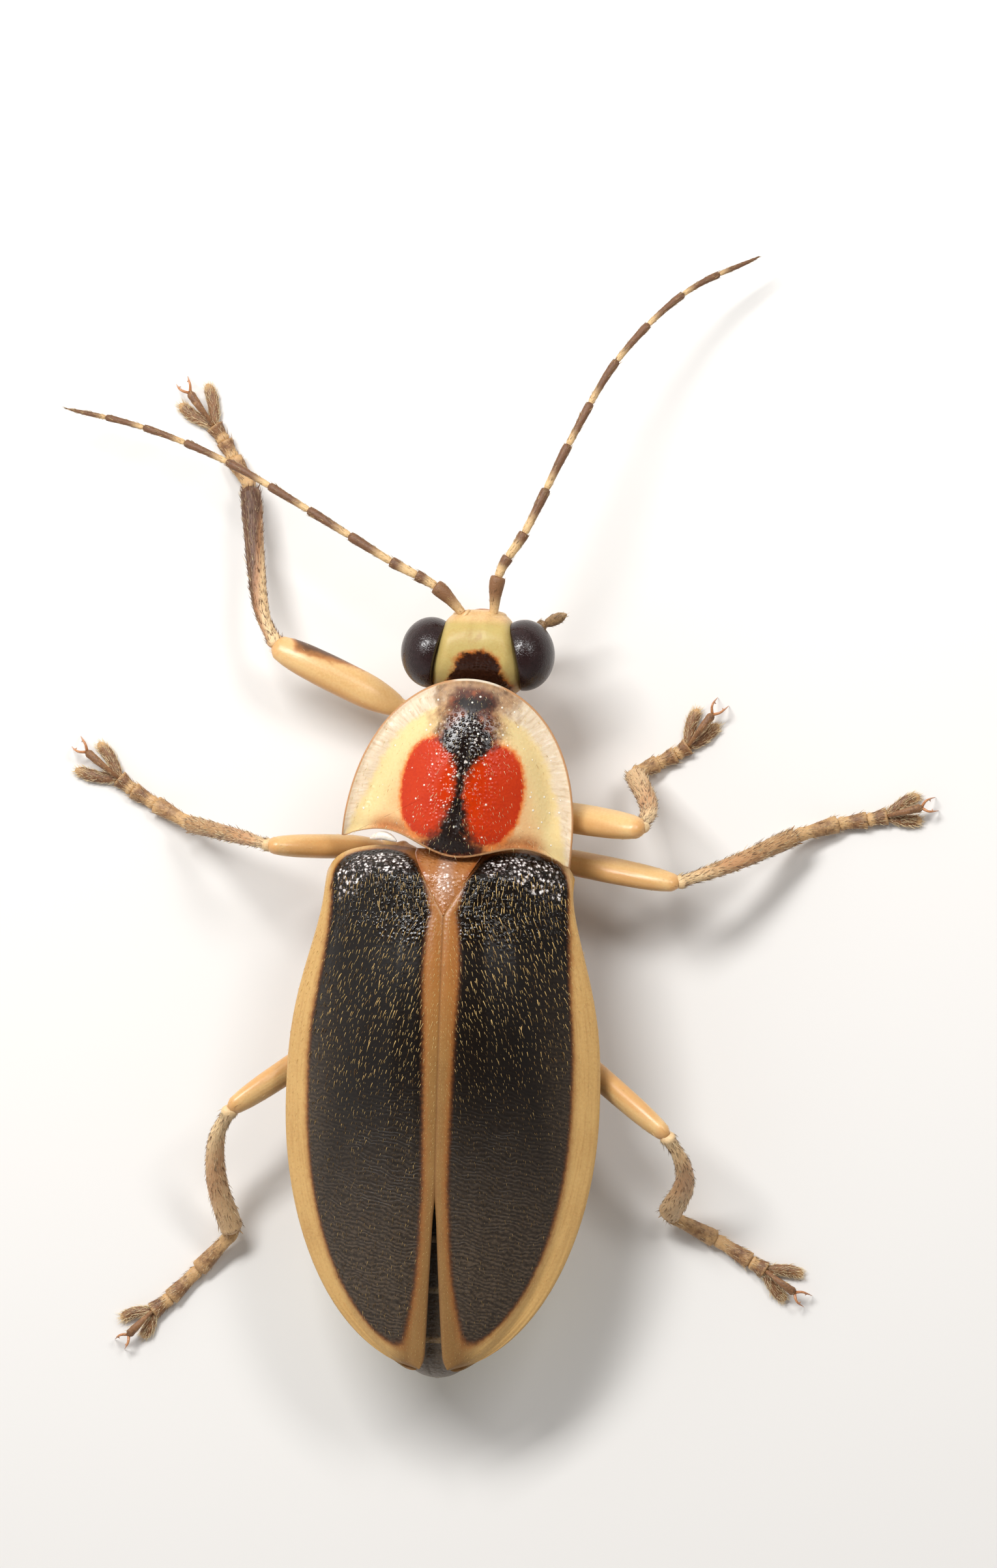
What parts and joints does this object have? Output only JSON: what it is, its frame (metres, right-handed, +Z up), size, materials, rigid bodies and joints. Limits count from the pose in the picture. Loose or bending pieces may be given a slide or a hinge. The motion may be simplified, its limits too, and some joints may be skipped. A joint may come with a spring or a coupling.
{
  "type": "firefly",
  "caption": "Life-size still model of a firefly standing on the floor, wing cases closed, antennae and legs spread.",
  "frame": {"origin": "middle of the animal's box seen from above, on the floor it stands on", "axes": "+Y towards the head along the line between the wing cases, +Z up, +X to the animal's right"},
  "size_m": [0.0152, 0.0194, 0.0034],
  "materials": {
    "head_cuticle": "smooth waxy cuticle with a dark mark at the back",
    "eye": "glossy dark compound eye",
    "antenna": "dark brown segments with cream bases and short down",
    "mouthpart": "grey-brown palps",
    "pronotum_cuticle": "pitted gloss, red patches, black middle, clear yellow rim",
    "wing_case": "dark brown with tan margins, finely rippled, with short gold hairs",
    "scutellum_cuticle": "tan cuticle",
    "body_cuticle": "tan and brown cuticle with short down",
    "lantern_cuticle": "pale waxy cuticle, unlit",
    "leg_cuticle": "pale orange-tan cuticle",
    "shin_cuticle": "brown cuticle with short bristles"
  },
  "bodies": {
    "root": {"head": "head_cuticle", "eye_left": "eye", "eye_right": "eye", "antenna_left": "antenna", "antenna_right": "antenna", "palp_left": "mouthpart", "palp_right": "mouthpart", "pronotum": "pronotum_cuticle", "prothorax": "body_cuticle", "scutellum": "scutellum_cuticle", "elytron_left": "wing_case", "elytron_right": "wing_case", "thorax": "body_cuticle", "abdomen": "body_cuticle", "lantern": "lantern_cuticle", "abdomen_tip": "body_cuticle", "femur_front_left": "leg_cuticle", "femur_front_right": "leg_cuticle", "femur_middle_left": "leg_cuticle", "femur_middle_right": "leg_cuticle", "femur_hind_left": "leg_cuticle", "femur_hind_right": "leg_cuticle", "tibia_front_left": "shin_cuticle", "tibia_front_right": "shin_cuticle", "tibia_middle_left": "shin_cuticle", "tibia_middle_right": "shin_cuticle", "tibia_hind_left": "shin_cuticle", "tibia_hind_right": "shin_cuticle", "tarsus_front_left": "shin_cuticle", "tarsus_front_right": "shin_cuticle", "tarsus_middle_left": "shin_cuticle", "tarsus_middle_right": "shin_cuticle", "tarsus_hind_left": "shin_cuticle", "tarsus_hind_right": "shin_cuticle"}
  },
  "joints": []
}
